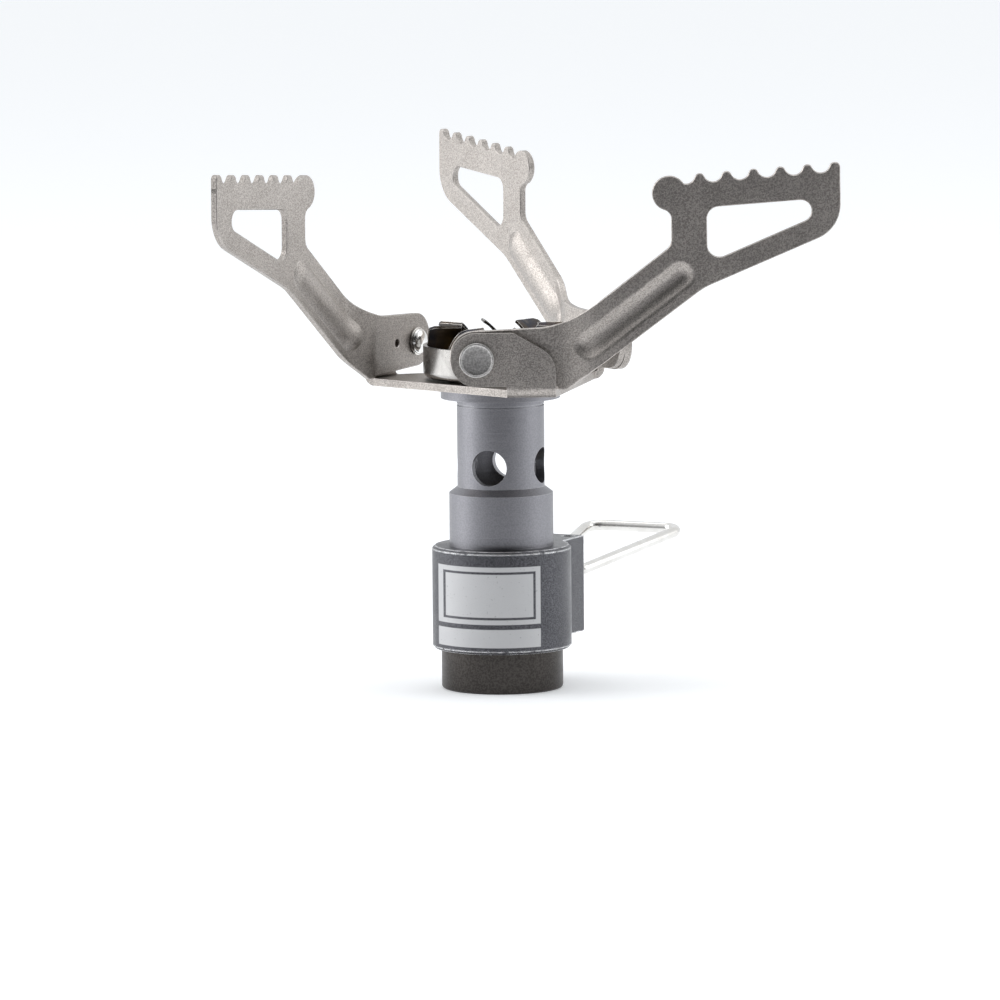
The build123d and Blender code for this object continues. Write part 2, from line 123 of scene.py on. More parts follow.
# ---- shared effects
def blast_grain_group():
    """Fine pitting left by bead blasting, with faint cloudy patches."""
    inputs = {"Grain": 5200.0, "Patch": 160.0}
    outputs = {"Height": "NodeSocketFloat", "Tone": "NodeSocketFloat"}
    group, source, sink = new_group("blast_grain", inputs, outputs)
    fine = noise(group, source.outputs["Grain"], 3.0, 0.6)
    patch = noise(group, source.outputs["Patch"], 3.0, 0.55)
    speck = smooth_range(group, fine, 0.36, 0.64)
    tone = math_node(group, "MULTIPLY_ADD", speck, 0.7, math_node(group, "MULTIPLY", patch, 0.3))
    group.links.new(fine, sink.inputs["Height"])
    group.links.new(tone, sink.inputs["Tone"])
    return group


def turning_lines_group():
    """Fine rings round the upright axis left by a lathe."""
    inputs = {"Lines": 5200.0}
    outputs = {"Height": "NodeSocketFloat", "Tone": "NodeSocketFloat"}
    group, source, sink = new_group("turning_lines", inputs, outputs)
    fine = noise(group, source.outputs["Lines"], 2.0, 0.6, stretch=(0.02, 0.02, 1.0))
    broad_scale = math_node(group, "MULTIPLY", source.outputs["Lines"], 0.22)
    broad = noise(group, broad_scale, 2.0, 0.5, stretch=(0.02, 0.02, 1.0))
    tone = math_node(group, "MULTIPLY_ADD", fine, 0.6, math_node(group, "MULTIPLY", broad, 0.4))
    group.links.new(fine, sink.inputs["Height"])
    group.links.new(tone, sink.inputs["Tone"])
    return group


def edge_wear_group():
    """Mask that is 1 on outer edges, broken up by noise."""
    inputs = {"Width": 0.00018, "Breakup": 900.0, "Amount": 1.0}
    group, source, sink = new_group("edge_wear", inputs, {"Mask": "NodeSocketFloat"})
    bevel = group.nodes.new("ShaderNodeBevel")
    bevel.samples = 4
    group.links.new(source.outputs["Width"], bevel.inputs["Radius"])
    geometry = group.nodes.new("ShaderNodeNewGeometry")
    dot = group.nodes.new("ShaderNodeVectorMath")
    dot.operation = "DOT_PRODUCT"
    group.links.new(bevel.outputs["Normal"], dot.inputs[0])
    group.links.new(geometry.outputs["Normal"], dot.inputs[1])
    bend = smooth_range(group, dot.outputs["Value"], 0.998, 0.955)
    gaps = smooth_range(group, noise(group, source.outputs["Breakup"], 3.0, 0.6), 0.30, 0.52)
    worn = math_node(group, "MULTIPLY", bend, gaps)
    mask = math_node(group, "MULTIPLY", worn, source.outputs["Amount"], clamp=True)
    group.links.new(mask, sink.inputs["Mask"])
    return group


def smudge_group():
    """Handling marks: soft patches and a few long scratches."""
    inputs = {"Patch": 220.0, "Scratch": 700.0}
    outputs = {"Smudge": "NodeSocketFloat", "Scratches": "NodeSocketFloat"}
    group, source, sink = new_group("handling", inputs, outputs)
    patch = smooth_range(group, noise(group, source.outputs["Patch"], 4.0, 0.6), 0.35, 0.7)
    streak = noise(group, source.outputs["Scratch"], 1.0, 0.5, stretch=(1.0, 14.0, 14.0),
                   turn=(0.3, 0.9, 0.2))
    scratch = smooth_range(group, streak, 0.70, 0.74)
    group.links.new(patch, sink.inputs["Smudge"])
    group.links.new(scratch, sink.inputs["Scratches"])
    return group


GRAIN = blast_grain_group()
TURNED = turning_lines_group()
WORN = edge_wear_group()
HANDLED = smudge_group()


# ---- materials
def placed(tree, group, **values):
    """Put a shared group in a material with its own values."""
    node = tree.nodes.new("ShaderNodeGroup")
    node.node_tree = group
    for label, value in values.items():
        node.inputs[label].default_value = value
    return node


def mixed(tree, factor, first, second):
    """Mix two colours by a socket; each colour is a socket or a tuple."""
    node = tree.nodes.new("ShaderNodeMix")
    node.data_type = "RGBA"
    tree.links.new(factor, node.inputs[MIX_FACTOR])
    for socket, value in ((node.inputs[MIX_A], first), (node.inputs[MIX_B], second)):
        if isinstance(value, tuple):
            socket.default_value = (*value, 1.0)
        else:
            tree.links.new(value, socket)
    return node.outputs[MIX_RESULT]


def bumped(tree, height, distance):
    """Bump node fed by a height; returns its normal."""
    node = tree.nodes.new("ShaderNodeBump")
    node.inputs["Distance"].default_value = distance
    node.inputs["Strength"].default_value = 1.0
    tree.links.new(height, node.inputs["Height"])
    return node.outputs["Normal"]


def start_material(name, metallic=1.0):
    """New material with its tree and its main shader."""
    material = bpy.data.materials.new(name)
    material.use_nodes = True
    tree = material.node_tree
    shader = tree.nodes["Principled BSDF"]
    shader.inputs["Metallic"].default_value = metallic
    return material, tree, shader


def blasted_metal(name, dark, light, worn, roughness, grain=5200.0, depth=0.00003, wear=0.6, width=0.00014,
                  painted_glint=0.0):
    """Bead-blasted metal with pitted grain and brighter worn edges; the last argument makes those edges
    non-metallic, which paints a glint on them.
    """
    material, tree, shader = start_material(name)
    surface = placed(tree, GRAIN, Grain=grain)
    edges = placed(tree, WORN, Width=width, Amount=wear)
    marks = placed(tree, HANDLED)
    tone = smooth_range(tree, surface.outputs["Tone"], 0.25, 0.75)
    colour = mixed(tree, tone, dark, light)
    colour = mixed(tree, edges.outputs["Mask"], colour, worn)
    tree.links.new(colour, shader.inputs["Base Color"])
    rough = smooth_range(tree, marks.outputs["Smudge"], 0.0, 1.0, roughness - 0.04, roughness + 0.05)
    rough = math_node(tree, "MULTIPLY_ADD", edges.outputs["Mask"], -0.12, rough)
    tree.links.new(rough, shader.inputs["Roughness"])
    tree.links.new(bumped(tree, surface.outputs["Height"], depth), shader.inputs["Normal"])
    # painted glint: worn edges lose their metal and show their pale colour as diffuse light
    if painted_glint:
        glint_metallic = math_node(tree, "MULTIPLY_ADD", edges.outputs["Mask"], -painted_glint, 1.0)
        tree.links.new(glint_metallic, shader.inputs["Metallic"])
    return material


def band(tree, value, low, high):
    """1 between two levels of a value in metres, with crisp but soft-edged ends."""
    edge = 0.00004
    rise = smooth_range(tree, value, low - edge, low + edge)
    fall = smooth_range(tree, value, high - edge, high + edge, 1.0, 0.0)
    return math_node(tree, "MULTIPLY", rise, fall)


# plain print on the valve body's front, in mm: (left, right), (bottom, top)
PANEL = ((-7.9, 4.8), (8.9, 16.1))
FRAME_OUTSIDE = ((-7.3, 4.2), (9.5, 15.5))
FRAME_INSIDE = ((-7.0, 3.9), (9.8, 15.2))
BAR = ((-7.9, 4.8), (6.0, 8.3))
PRINT_FRONT = (-0.5, -1.5)      # the print fades in between these places across Y
PRINT_METAL = 0.2


def rectangle(tree, across, upright, spans):
    """1 inside a rectangle given in mm, 0 outside it."""
    (left, right), (bottom, top) = spans
    wide = band(tree, across, left * MM, right * MM)
    high = band(tree, upright, bottom * MM, top * MM)
    return math_node(tree, "MULTIPLY", wide, high)


def printed_body(name):
    """Coarse-blasted alloy with worn rims and a plain silver print on the front."""
    material = blasted_metal(name, (0.068, 0.068, 0.075), (0.128, 0.128, 0.139), (0.95, 0.95, 0.96), 0.35,
                             grain=6800.0, depth=0.000045, wear=1.0, width=0.00030)
    tree = material.node_tree
    shader = tree.nodes["Principled BSDF"]
    place = tree.nodes.new("ShaderNodeTexCoord")
    split = tree.nodes.new("ShaderNodeSeparateXYZ")
    tree.links.new(place.outputs["Object"], split.inputs["Vector"])
    across, upright = split.outputs["X"], split.outputs["Z"]
    panel, line, core, bar = (rectangle(tree, across, upright, spans)
                              for spans in (PANEL, FRAME_OUTSIDE, FRAME_INSIDE, BAR))
    framed = math_node(tree, "ADD", math_node(tree, "SUBTRACT", panel, line), core)
    both = math_node(tree, "ADD", framed, bar)
    front = smooth_range(tree, split.outputs["Y"], PRINT_FRONT[0] * MM, PRINT_FRONT[1] * MM)
    chips = smooth_range(tree, noise(tree, 4200.0, 3.0, 0.65), 0.28, 0.33)
    mask = math_node(tree, "MULTIPLY", math_node(tree, "MULTIPLY", both, front), chips, clamp=True)
    metal = shader.inputs["Base Color"].links[0].from_socket
    tree.links.new(mixed(tree, mask, metal, (0.56, 0.56, 0.57)), shader.inputs["Base Color"])
    metallic = math_node(tree, "MULTIPLY_ADD", mask, PRINT_METAL - 1.0, 1.0)
    tree.links.new(metallic, shader.inputs["Metallic"])
    return material


def turned_metal(name, dark, light, worn, roughness, lines=5200.0, depth=0.000012, wear=0.5, grain=0.35):
    """Turned metal: rings round the upright axis under a fine grain."""
    material, tree, shader = start_material(name)
    rings = placed(tree, TURNED, Lines=lines)
    surface = placed(tree, GRAIN, Grain=lines * 1.2)
    edges = placed(tree, WORN, Width=0.00012, Amount=wear)
    tone = math_node(tree, "MULTIPLY_ADD", surface.outputs["Tone"], grain,
                     math_node(tree, "MULTIPLY", rings.outputs["Tone"], 1.0 - grain))
    colour = mixed(tree, smooth_range(tree, tone, 0.3, 0.7), dark, light)
    colour = mixed(tree, edges.outputs["Mask"], colour, worn)
    tree.links.new(colour, shader.inputs["Base Color"])
    rough = smooth_range(tree, rings.outputs["Tone"], 0.2, 0.8, roughness - 0.05, roughness + 0.05)
    tree.links.new(rough, shader.inputs["Roughness"])
    height = math_node(tree, "MULTIPLY_ADD", surface.outputs["Height"], grain, rings.outputs["Height"])
    tree.links.new(bumped(tree, height, depth), shader.inputs["Normal"])
    return material


def polished_metal(name, colour, shade, roughness, scratch=0.25):
    """Bright metal with handling smudges and a few scratches."""
    material, tree, shader = start_material(name)
    marks = placed(tree, HANDLED, Patch=260.0, Scratch=600.0)
    tinted = mixed(tree, marks.outputs["Smudge"], colour, shade)
    tree.links.new(tinted, shader.inputs["Base Color"])
    rough = smooth_range(tree, marks.outputs["Smudge"], 0.0, 1.0, roughness, roughness + 0.08)
    rough = math_node(tree, "MULTIPLY_ADD", marks.outputs["Scratches"], scratch, rough)
    tree.links.new(rough, shader.inputs["Roughness"])
    tree.links.new(bumped(tree, marks.outputs["Scratches"], -0.000004), shader.inputs["Normal"])
    return material


def tinted_steel(name):
    """Stainless sheet blued and browned by flame."""
    material, tree, shader = start_material(name)
    heat = noise(tree, 190.0, 3.0, 0.55)
    ramp = tree.nodes.new("ShaderNodeValToRGB")
    stops = ((0.30, (0.030, 0.026, 0.024)), (0.45, (0.075, 0.058, 0.045)),
             (0.56, (0.040, 0.040, 0.052)), (0.70, (0.16, 0.135, 0.11)))
    elements = ramp.color_ramp.elements
    for element, (position, colour) in zip(elements, (stops[0], stops[-1])):
        element.position = position
        element.color = (*colour, 1)
    for position, colour in stops[1:-1]:
        elements.new(position).color = (*colour, 1)
    tree.links.new(heat, ramp.inputs["Fac"])
    edges = placed(tree, WORN, Width=0.00015, Amount=1.0)
    colour = mixed(tree, edges.outputs["Mask"], ramp.outputs["Color"], (0.75, 0.72, 0.68))
    tree.links.new(colour, shader.inputs["Base Color"])
    surface = placed(tree, GRAIN, Grain=4200.0)
    rough = smooth_range(tree, surface.outputs["Tone"], 0.2, 0.8, 0.30, 0.48)
    tree.links.new(rough, shader.inputs["Roughness"])
    tree.links.new(bumped(tree, surface.outputs["Height"], 0.00001), shader.inputs["Normal"])
    return material


def seal_rubber(name):
    """Black seal with a satin skin and a little bloom."""
    material, tree, shader = start_material(name, metallic=0.0)
    marks = placed(tree, HANDLED, Patch=500.0)
    colour = mixed(tree, marks.outputs["Smudge"], (0.012, 0.012, 0.013), (0.03, 0.03, 0.032))
    tree.links.new(colour, shader.inputs["Base Color"])
    rough = smooth_range(tree, marks.outputs["Smudge"], 0.0, 1.0, 0.38, 0.6)
    tree.links.new(rough, shader.inputs["Roughness"])
    return material


TITANIUM = blasted_metal("titanium", (0.318, 0.293, 0.272), (0.520, 0.482, 0.452), (0.78, 0.74, 0.70), 0.42,
                         grain=6200.0, depth=0.000036)
BODY_ALLOY = printed_body("blasted_alloy")
TUBE_ALLOY = turned_metal("grey_alloy", (0.245, 0.243, 0.262), (0.285, 0.283, 0.303), (0.62, 0.62, 0.64),
                          0.42, lines=4600.0, depth=0.000014, grain=0.7)
COLLAR_ALLOY = turned_metal("collar_alloy", (0.050, 0.045, 0.042), (0.080, 0.073, 0.068), (0.2, 0.19, 0.18),
                            0.40, lines=3800.0, wear=0.3, grain=0.6)
# rivet edges: real wear, doubled and made near-white and non-metallic as a painted glint on the head's rings
RIVET_STEEL = blasted_metal("rivet_steel", (0.39, 0.378, 0.367), (0.56, 0.547, 0.532), (1.0, 0.98, 0.96),
                            0.40, wear=2.0, grain=4200.0, depth=0.00004, width=0.0001, painted_glint=0.8)
BRIGHT_STEEL = polished_metal("bright_steel", (0.80, 0.785, 0.76), (0.70, 0.68, 0.65), 0.12)
CUP_STEEL = polished_metal("cup_steel", (0.50, 0.485, 0.465), (0.38, 0.365, 0.35), 0.24, scratch=0.15)
HEAD_STEEL = polished_metal("head_steel", (0.85, 0.84, 0.82), (0.78, 0.77, 0.75), 0.08, scratch=0.1)
TINTED_STEEL = tinted_steel("tinted_steel")
BRASS = turned_metal("brass", (0.62, 0.44, 0.19), (0.74, 0.56, 0.27), (0.9, 0.75, 0.45), 0.28)
SINTERED = blasted_metal("sintered_brass", (0.30, 0.21, 0.11), (0.50, 0.37, 0.20), (0.5, 0.4, 0.2), 0.6,
                         grain=2400.0, depth=0.00012)
RUBBER = seal_rubber("seal_rubber")


# ---- mesh helpers
def wear_material(piece, material):
    """Give a piece one finish all over."""
    piece.data.materials.clear()
    piece.data.materials.append(material)


def smooth(mesh, angle):
    """Smooth shading with sharp edges past an angle."""
    for polygon in mesh.polygons:
        polygon.use_smooth = True
    mesh.set_sharp_from_angle(angle=math.radians(angle))


def object_of(name, mesh):
    """New object at the origin with this mesh."""
    piece = bpy.data.objects.new(name, mesh)
    bpy.context.scene.collection.objects.link(piece)
    return piece


def applied(piece):
    """Replace an object's modifiers by their result."""
    depsgraph = bpy.context.evaluated_depsgraph_get()
    mesh = bpy.data.meshes.new_from_object(piece.evaluated_get(depsgraph))
    piece.modifiers.clear()
    piece.data = mesh
    return mesh


def turned_side(mesh, polygon):
    """1 or -1 for a face of a wall turned round the upright axis, looking outwards or inwards; else 0."""
    spots = [mesh.vertices[index].co for index in polygon.vertices]
    radii = [math.hypot(spot.x, spot.y) for spot in spots]
    facing = Vector((polygon.center.x, polygon.center.y, 0)).normalized().dot(polygon.normal)
    if abs(facing) < TURNED_FACING or max(radii) - min(radii) > TURNED_SLACK:
        return 0
    return int(math.copysign(1, facing))


def true_normals(mesh):
    """Flat faces shade flat and turned walls round; only the broken edges bend between them."""
    around = [[] for vertex in mesh.vertices]
    for polygon in mesh.polygons:
        for index in polygon.vertices:
            around[index].append(polygon)
    sides = [turned_side(mesh, polygon) for polygon in mesh.polygons]

    def summed(polygon, index, broken, least):
        total = Vector()
        for other in around[index]:
            if (other.material_index == 1) == broken and other.normal.dot(polygon.normal) > least:
                total += other.normal * other.area
        return total

    def face_normal(polygon, index):
        if sides[polygon.index]:
            spot = mesh.vertices[index].co
            return Vector((spot.x, spot.y, 0)).normalized() * sides[polygon.index]
        return summed(polygon, index, False, SMOOTH_WITHIN).normalized()

    normals = []
    for polygon in mesh.polygons:
        for index in polygon.vertices:
            if polygon.material_index == 0:
                normals.append(face_normal(polygon, index))
                continue
            total = Vector()
            for other in around[index]:
                if other.material_index == 0 and other.normal.dot(polygon.normal) > BROKEN_WITHIN:
                    total += face_normal(other, index) * other.area
            if total.length == 0:
                total = summed(polygon, index, True, BROKEN_WITHIN)
            normals.append(total.normalized() if total.length > 0 else polygon.normal.copy())
    mesh.normals_split_custom_set(normals)
    mesh.polygons.foreach_set("material_index", [0] * len(mesh.polygons))


def refined(node, name, material, width, body=BODY):
    """Finished copy of a CAD piece with its edges broken, standing for that piece."""
    mesh = nodes[node].data.copy()
    mesh.materials.clear()
    work = bmesh.new()
    work.from_mesh(mesh)
    bmesh.ops.remove_doubles(work, verts=work.verts, dist=WELD)
    bmesh.ops.dissolve_limit(work, angle_limit=FLAT_WITHIN, verts=work.verts, edges=work.edges)
    work.to_mesh(mesh)
    work.free()
    piece = object_of(name, mesh)
    bevel = piece.modifiers.new("edges", "BEVEL")
    bevel.width = width
    bevel.segments = EDGE_SEGMENTS
    bevel.limit_method = "ANGLE"
    bevel.angle_limit = EDGE_ANGLE
    bevel.miter_outer = "MITER_ARC"
    bevel.material = 1      # marks the broken edges for true_normals
    mesh.materials.append(None)
    mesh.materials.append(None)
    for polygon in mesh.polygons:
        polygon.use_smooth = True
        polygon.material_index = 0
    true_normals(applied(piece))
    wear_material(piece, material)
    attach(piece, body)
    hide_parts(node)


def mesh_of(name, work):
    """Mesh of a finished bmesh, its faces looking outwards."""
    bmesh.ops.recalc_face_normals(work, faces=work.faces)
    mesh = bpy.data.meshes.new(name)
    work.to_mesh(mesh)
    work.free()
    return mesh


def lathe(name, profile, steps=96, loop=False):
    """Turned mesh from (radius, height) points round Z; a loop joins the last point to the first."""
    work = bmesh.new()
    rings = []
    for radius, height in profile:
        if radius < 1e-9:
            rings.append([work.verts.new((0, 0, height))])
            continue
        ring = []
        for step in range(steps):
            angle = 2 * math.pi * step / steps
            ring.append(work.verts.new((radius * math.cos(angle), radius * math.sin(angle), height)))
        rings.append(ring)
    pairs = list(zip(rings, rings[1:])) + ([(rings[-1], rings[0])] if loop else [])
    for first, second in pairs:
        for step in range(steps):
            after = (step + 1) % steps
            if len(first) == 1:
                work.faces.new((first[0], second[after], second[step]))
            elif len(second) == 1:
                work.faces.new((first[step], first[after], second[0]))
            else:
                work.faces.new((first[step], first[after], second[after], second[step]))
    return mesh_of(name, work)


# ---- pot supports
arm_low, arm_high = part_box("pot_support_front")
ARM_SHEET = 0.85 * MM
ARM_INNER = arm_high.y
ARM_OUTER = arm_low.y
PIVOT = Vector((-2.9 * MM, 0.0, 42.7 * MM))
JOGGLE = (ARM_INNER - ARM_OUTER) - ARM_SHEET
JOGGLE_START = 9.8 * MM
JOGGLE_END = 15.5 * MM
RIB_START = (13.9 * MM, 2.21 * MM)
RIB_END = (24.77 * MM, 11.13 * MM)
RIB_HALF = 1.75 * MM
RIB_ROUND = 2.2
RIB_SHOULDER = 0.06
RIB_DEPTH = 0.6 * MM
RIB_RINGS = (0.22, 0.1, 0.0, -0.1, -0.22, -0.45, -0.75, -1.1, -1.45)
REST_TURN = math.radians(-1.9)
EDGE_BREAK = 0.09 * MM

# spacing of the arm's mesh
RIM_SPACING = 0.28 * MM
GRID_STEP = 0.42 * MM
ROW_STEP = GRID_STEP * 0.866
RIM_MARGIN = 0.30 * MM
RIB_MARGIN = 0.45 * MM
RIB_END_SPACING = 0.3 * MM
RIB_RUN_SPACING = 0.5 * MM
SHORTEST_LOOP = 6


def outline_loops(node):
    """Outline and holes of the front arm, as loops of (x, z), read from the CAD piece."""
    work = bmesh.new()
    work.from_mesh(nodes[node].data)
    walls = [face for face in work.faces if face.normal.y > -0.5]
    bmesh.ops.delete(work, geom=walls, context="FACES")
    for vert in work.verts:
        vert.co.y = 0
    bmesh.ops.remove_doubles(work, verts=work.verts, dist=0.00002)
    rim = [edge for edge in work.edges if len(edge.link_faces) == 1]
    after = {}
    for edge in rim:
        for one, other in (edge.verts, reversed(edge.verts)):
            after.setdefault(one, []).append(other)
    loops = []
    left = set(after)
    while left:
        start = left.pop()
        loop = [start]
        previous, current = start, after[start][0]
        while current is not start:
            loop.append(current)
            left.discard(current)
            following = [vert for vert in after[current] if vert is not previous]
            previous, current = current, following[0]
        loops.append([Vector((vert.co.x, vert.co.z)) for vert in loop])
    work.free()
    return [even_spacing(loop, RIM_SPACING) for loop in loops if len(loop) > SHORTEST_LOOP]


def even_spacing(loop, step):
    """Drop points closer than a step and fill long runs."""
    kept = []
    for index, point in enumerate(loop):
        ahead = loop[(index + 1) % len(loop)]
        run = (ahead - point).length
        pieces = max(1, int(run / step))
        for part in range(pieces):
            spot = point.lerp(ahead, part / pieces)
            if not kept or (spot - kept[-1]).length > step * 0.35:
                kept.append(spot)
    if (kept[0] - kept[-1]).length < step * 0.35:
        kept.pop()
    return kept


def signed_area(loop):
    """Area of a loop, positive where it runs anticlockwise."""
    return sum(a.x * b.y - b.x * a.y for a, b in zip(loop, loop[1:] + loop[:1])) / 2


def inset(loop, distance, hole):
    """Loop moved into the sheet by a distance."""
    side = 1.0 if (signed_area(loop) > 0) != hole else -1.0
    moved = []
    for index, point in enumerate(loop):
        along = loop[(index + 1) % len(loop)] - loop[index - 1]
        along.normalize()
        moved.append(point + Vector((-along.y, along.x)) * distance * side)
    return moved


def inside(point, loops):
    """True where a point lies in the sheet."""
    count = 0
    for loop in loops:
        for a, b in zip(loop, loop[1:] + loop[:1]):
            if (a.y > point.y) != (b.y > point.y):
                if point.x < a.x + (point.y - a.y) * (b.x - a.x) / (b.y - a.y):
                    count += 1
    return count % 2 == 1


def ease(value):
    """Smooth step from 0 to 1."""
    value = min(max(value, 0.0), 1.0)
    return value * value * (3 - 2 * value)


def sheet_middle(x, z):
    """Where the sheet's middle lies across Y: stepped out past the ear, pressed in along the rib."""
    local_x = x - PIVOT.x
    local_z = z - PIVOT.z
    cos_turn, sin_turn = math.cos(-REST_TURN), math.sin(-REST_TURN)
    drawn_x = local_x * cos_turn - local_z * sin_turn
    drawn_z = local_x * sin_turn + local_z * cos_turn
    base = ARM_INNER - ARM_SHEET / 2
    step = ease((local_x - JOGGLE_START) / (JOGGLE_END - JOGGLE_START))
    hollow = 1.0 - (rib_distance(drawn_x, drawn_z) / RIB_HALF) ** RIB_ROUND
    press = (hollow + math.sqrt(hollow * hollow + RIB_SHOULDER ** 2)) / 2
    return base - JOGGLE * step + RIB_DEPTH * press


def rib_distance(drawn_x, drawn_z):
    """Distance from the rib's middle line, on the arm as drawn."""
    start, end, spot = Vector(RIB_START), Vector(RIB_END), Vector((drawn_x, drawn_z))
    run = end - start
    share = min(max((spot - start).dot(run) / run.length_squared, 0.0), 1.0)
    return (spot - (start + run * share)).length


def rib_ring(distance):
    """Points at one distance all round the rib's middle line, at its place on the stove."""
    start, end = Vector(RIB_START), Vector(RIB_END)
    along = (end - start).normalized()
    side = Vector((-along.y, along.x))
    ends = max(5, int(math.pi * distance / RIB_END_SPACING))
    runs = int((end - start).length / RIB_RUN_SPACING)
    angles = [math.pi * i / ends for i in range(ends)]
    arc = [-side * math.cos(angle) + along * math.sin(angle) for angle in angles]
    points = [start.lerp(end, i / runs) - side * distance for i in range(runs)]
    points += [end + way * distance for way in arc]
    points += [end.lerp(start, i / runs) + side * distance for i in range(runs)]
    points += [start - way * distance for way in arc]
    cos_turn, sin_turn = math.cos(REST_TURN), math.sin(REST_TURN)
    return [Vector((PIVOT.x + p.x * cos_turn - p.y * sin_turn, PIVOT.z + p.x * sin_turn + p.y * cos_turn))
            for p in points]


def sheet_point(x, z, offset):
    """Point on the sheet at a signed distance outwards from its middle."""
    small = 0.02 * MM
    middle = sheet_middle(x, z)
    slope_x = (sheet_middle(x + small, z) - middle) / small
    slope_z = (sheet_middle(x, z + small) - middle) / small
    normal = Vector((slope_x, -1.0, slope_z)).normalized()
    return Vector((x, middle, z)) + normal * offset


def pressed_arm():
    """Mesh of the front arm: blanked sheet with broken edges, joggle and pressed rib."""
    loops = outline_loops("pot_support_front")
    loops.sort(key=lambda loop: -abs(signed_area(loop)))
    points, edges = [], []
    rims = []
    for index, loop in enumerate(loops):
        for ring in (loop, inset(loop, EDGE_BREAK, index > 0)):
            start = len(points)
            points += ring
            edges += [(start + i, start + (i + 1) % len(ring)) for i in range(len(ring))]
            if ring is loop:
                rims += range(start, start + len(ring))
    for offset in RIB_RINGS:
        ring = rib_ring(RIB_HALF + offset * MM)
        start = len(points)
        points += ring
        edges += [(start + i, start + (i + 1) % len(ring)) for i in range(len(ring))]
    margin = [inset(loop, RIM_MARGIN, index > 0) for index, loop in enumerate(loops)]
    margin.append(rib_ring(RIB_HALF + RIB_MARGIN))
    count_x = int((arm_high.x - arm_low.x) / GRID_STEP) + 1
    count_z = int((arm_high.z - arm_low.z) / ROW_STEP) + 1
    for row in range(count_z):
        for column in range(count_x):
            x = arm_low.x + (column + 0.5 * (row % 2)) * GRID_STEP
            spot = Vector((x, arm_low.z + row * ROW_STEP))
            if inside(spot, margin):
                points.append(spot)
    verts, _, faces, origin, _, _ = delaunay_2d_cdt(points, edges, [], 0, 1e-7)
    rim_set = set(rims)
    on_rim = [any(source in rim_set for source in sources) for sources in origin]
    faces = [face for face in faces if inside(sum((verts[i] for i in face), Vector((0, 0))) / 3, loops)]
    work = bmesh.new()
    sides = []
    for sign in (1, -1):
        layer = []
        for spot, rim in zip(verts, on_rim):
            offset = ARM_SHEET / 2 - (EDGE_BREAK if rim else 0.0)
            layer.append(work.verts.new(sheet_point(spot.x, spot.y, sign * offset)))
        sides.append(layer)
        for face in faces:
            order = face if sign > 0 else tuple(reversed(face))
            work.faces.new([layer[i] for i in order])
    work.edges.ensure_lookup_table()
    outer = {vert: i for i, vert in enumerate(sides[0])}
    open_edges = [edge for edge in work.edges if len(edge.link_faces) == 1 and edge.verts[0] in outer]
    for edge in open_edges:
        first, second = edge.link_loops[0].vert, edge.link_loops[0].link_loop_next.vert
        i, j = outer[first], outer[second]
        work.faces.new((second, first, sides[1][i], sides[1][j]))
    bmesh.ops.delete(work, geom=[v for v in work.verts if not v.link_faces], context="VERTS")
    return mesh_of("pressed_arm", work)


def pot_supports():
    """The three arms: one pressed mesh, turned to each place."""
    front = pressed_arm()
    for index, side in enumerate(("front", "back", "left")):
        mesh = front.copy()
        mesh.transform(Matrix.Rotation(2 * math.pi / ARMS * index, 4, "Z"))
        piece = object_of("arm_" + side, mesh)
        wear_material(piece, TITANIUM)
        smooth(mesh, 35.0)
        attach(piece, side + "_arm")
        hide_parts("pot_support_" + side)


# ---- node-built pieces
def geometry_tree(name, inputs):
    """Empty geometry tree with named inputs {name: (socket type, default)} and a material."""
    tree = bpy.data.node_groups.new(name, "GeometryNodeTree")
    tree.interface.new_socket("Geometry", in_out="INPUT", socket_type="NodeSocketGeometry")
    for label, (kind, value) in inputs.items():
        socket = tree.interface.new_socket(label, in_out="INPUT", socket_type=kind)
        socket.default_value = value
    tree.interface.new_socket("Material", in_out="INPUT", socket_type="NodeSocketMaterial")
    tree.interface.new_socket("Geometry", in_out="OUTPUT", socket_type="NodeSocketGeometry")
    return tree, tree.nodes.new("NodeGroupInput"), tree.nodes.new("NodeGroupOutput")


def close_tree(tree, source, sink, geometry):
    """End a tree in Realize Instances and Set Material."""
    solid = tree.nodes.new("GeometryNodeRealizeInstances")
    painted = tree.nodes.new("GeometryNodeSetMaterial")
    tree.links.new(geometry, solid.inputs["Geometry"])
    tree.links.new(solid.outputs["Geometry"], painted.inputs["Geometry"])
    tree.links.new(source.outputs["Material"], painted.inputs["Material"])
    tree.links.new(painted.outputs["Geometry"], sink.inputs["Geometry"])


def repeat_round_tree():
    """The piece's own mesh, repeated evenly round the upright axis."""
    inputs = {"Count": ("NodeSocketInt", 3), "First Turn": ("NodeSocketFloat", 0.0)}
    tree, source, sink = geometry_tree("repeat_round", inputs)
    points = tree.nodes.new("GeometryNodeMeshLine")
    points.inputs["Offset"].default_value = (0, 0, 0)
    tree.links.new(source.outputs["Count"], points.inputs["Count"])
    index = tree.nodes.new("GeometryNodeInputIndex")
    step = math_node(tree, "DIVIDE", 2 * math.pi, source.outputs["Count"])
    turn = math_node(tree, "MULTIPLY_ADD", index.outputs["Index"], step, source.outputs["First Turn"])
    angles = tree.nodes.new("ShaderNodeCombineXYZ")
    tree.links.new(turn, angles.inputs["Z"])
    copies = tree.nodes.new("GeometryNodeInstanceOnPoints")
    tree.links.new(points.outputs["Mesh"], copies.inputs["Points"])
    tree.links.new(source.outputs["Geometry"], copies.inputs["Instance"])
    tree.links.new(angles.outputs["Vector"], copies.inputs["Rotation"])
    close_tree(tree, source, sink, copies.outputs["Instances"])
    return tree


